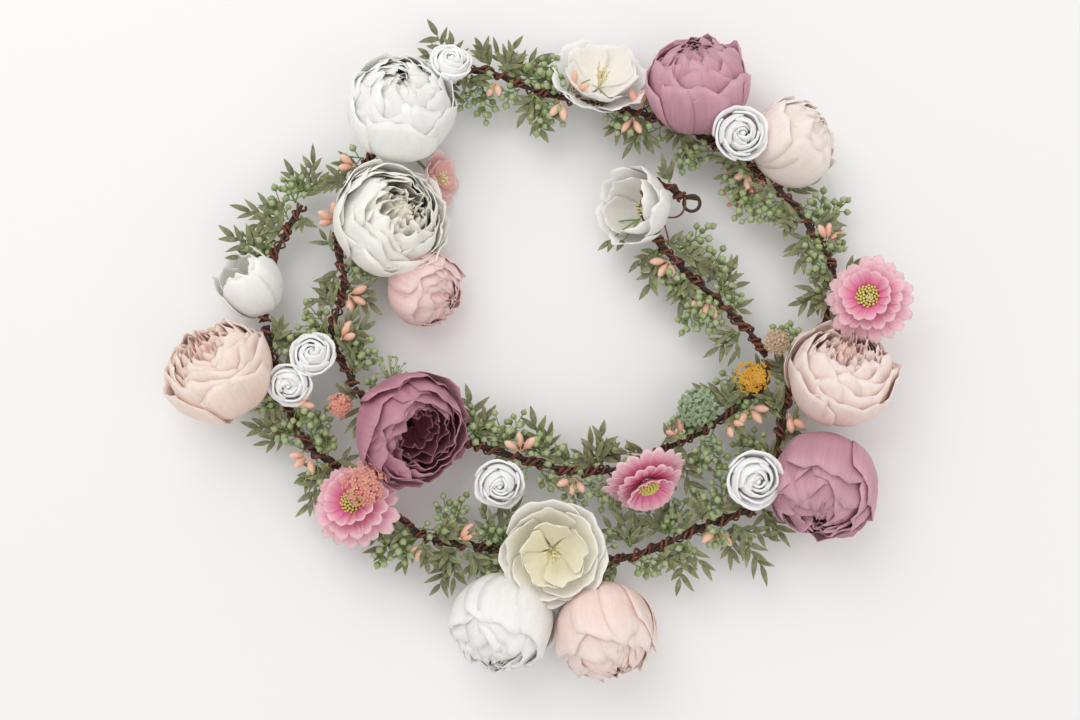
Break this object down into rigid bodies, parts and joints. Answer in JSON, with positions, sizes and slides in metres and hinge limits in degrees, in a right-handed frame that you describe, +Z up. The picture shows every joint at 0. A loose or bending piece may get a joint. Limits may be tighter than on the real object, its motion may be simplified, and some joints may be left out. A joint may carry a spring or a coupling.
{
  "type": "flower crown",
  "caption": "Artificial flower garland of two turns on bendable paper-covered wire, with a ribbon eyelet, laid flat as a head wreath.",
  "frame": {"origin": "middle of the footprint, on the table that the crown lies on", "axes": "+Z up from the table, +X to the right and +Y away from the person who looks at it, as it is laid out"},
  "size_m": [0.3463, 0.3181, 0.0536],
  "materials": {
    "berry_green": "green beads",
    "core_paper": "paper-covered wire",
    "filler_coral": "coral blooms",
    "filler_green": "green hydrangea florets",
    "filler_tan": "dried tan bloom",
    "filler_yellow": "yellow tufts",
    "foam_white": "white foam rose",
    "leaf_green": "dusty green leaves",
    "petal_blush": "blush cloth petals",
    "petal_cream": "cream cloth petals",
    "petal_daisy": "pink daisy petals",
    "petal_mauve": "mauve cloth petals",
    "petal_pink": "pink cloth petals",
    "petal_white": "white cloth petals",
    "pip_peach": "peach pips",
    "stem_green": "wired stems",
    "twine_paper": "russet paper twine"
  },
  "bodies": {
    "garland": {"berry_sprigs_inner": "berry_green", "berry_sprigs_outer": "berry_green", "coral_blooms": "filler_coral", "coral_filler_inner": "filler_coral", "coral_filler_outer": "filler_coral", "core_wires_inner_left": "core_paper", "core_wires_inner_lower": "core_paper", "core_wires_outer_lower": "core_paper", "core_wires_outer_right": "core_paper", "core_wires_outer_top": "core_paper", "daisy_pink_inner": "petal_daisy", "daisy_pink_left": "petal_daisy", "daisy_pink_right": "petal_daisy", "daisy_white_tucked": "petal_cream", "dried_bloom_tan": "filler_tan", "flower_stems": "stem_green", "foam_rose_inner": "foam_white", "foam_rose_left_inner": "foam_white", "foam_rose_left_outer": "foam_white", "foam_rose_right": "foam_white", "foam_rose_top_left": "foam_white", "foam_rose_top_right": "foam_white", "gypsophila": "berry_green", "hydrangea_green": "filler_green", "leaf_sprigs_inner": "leaf_green", "leaf_sprigs_outer_lower": "leaf_green", "leaf_sprigs_outer_upper": "leaf_green", "magnolia_cream_front": "petal_cream", "magnolia_white_top": "petal_white", "mimosa_yellow": "filler_yellow", "peach_pips_inner": "pip_peach", "peach_pips_outer": "pip_peach", "peony_blush_left": "petal_blush", "peony_blush_top": "petal_blush", "peony_mauve_left": "petal_mauve", "peony_mauve_right": "petal_mauve", "peony_mauve_top": "petal_mauve", "peony_peach_front": "petal_blush", "peony_peach_right": "petal_blush", "peony_pink_tucked": "petal_pink", "peony_white_front": "petal_white", "peony_white_lower": "petal_white", "peony_white_upper": "petal_white", "twine_inner": "twine_paper", "twine_outer_lower": "twine_paper", "twine_outer_upper": "twine_paper"},
    "inner_end": {"berry_sprigs_inner_end": "berry_green", "core_wires_inner_end": "core_paper", "leaf_sprigs_inner_end": "leaf_green", "magnolia_white_end": "petal_white", "peach_pips_inner_end": "pip_peach", "ribbon_eyelet": "core_paper", "twine_inner_end": "twine_paper"},
    "outer_end": {"berry_sprigs_outer_end": "berry_green", "core_wires_outer_end": "core_paper", "leaf_sprigs_outer_end": "leaf_green", "tulip_white_left": "petal_white", "twine_outer_end": "twine_paper"}
  },
  "joints": [
    {"name": "inner_end_bend", "type": "hinge", "parent": "garland", "child": "inner_end", "pos_m": [0.1124, -0.0091, 0.016], "axis": [0, 0, 1], "range_deg": [-2, 13]},
    {"name": "outer_end_bend", "type": "hinge", "parent": "garland", "child": "outer_end", "pos_m": [-0.1297, 0.0079, 0.016], "axis": [0, 0, 1], "range_deg": [-3, 5]}
  ]
}
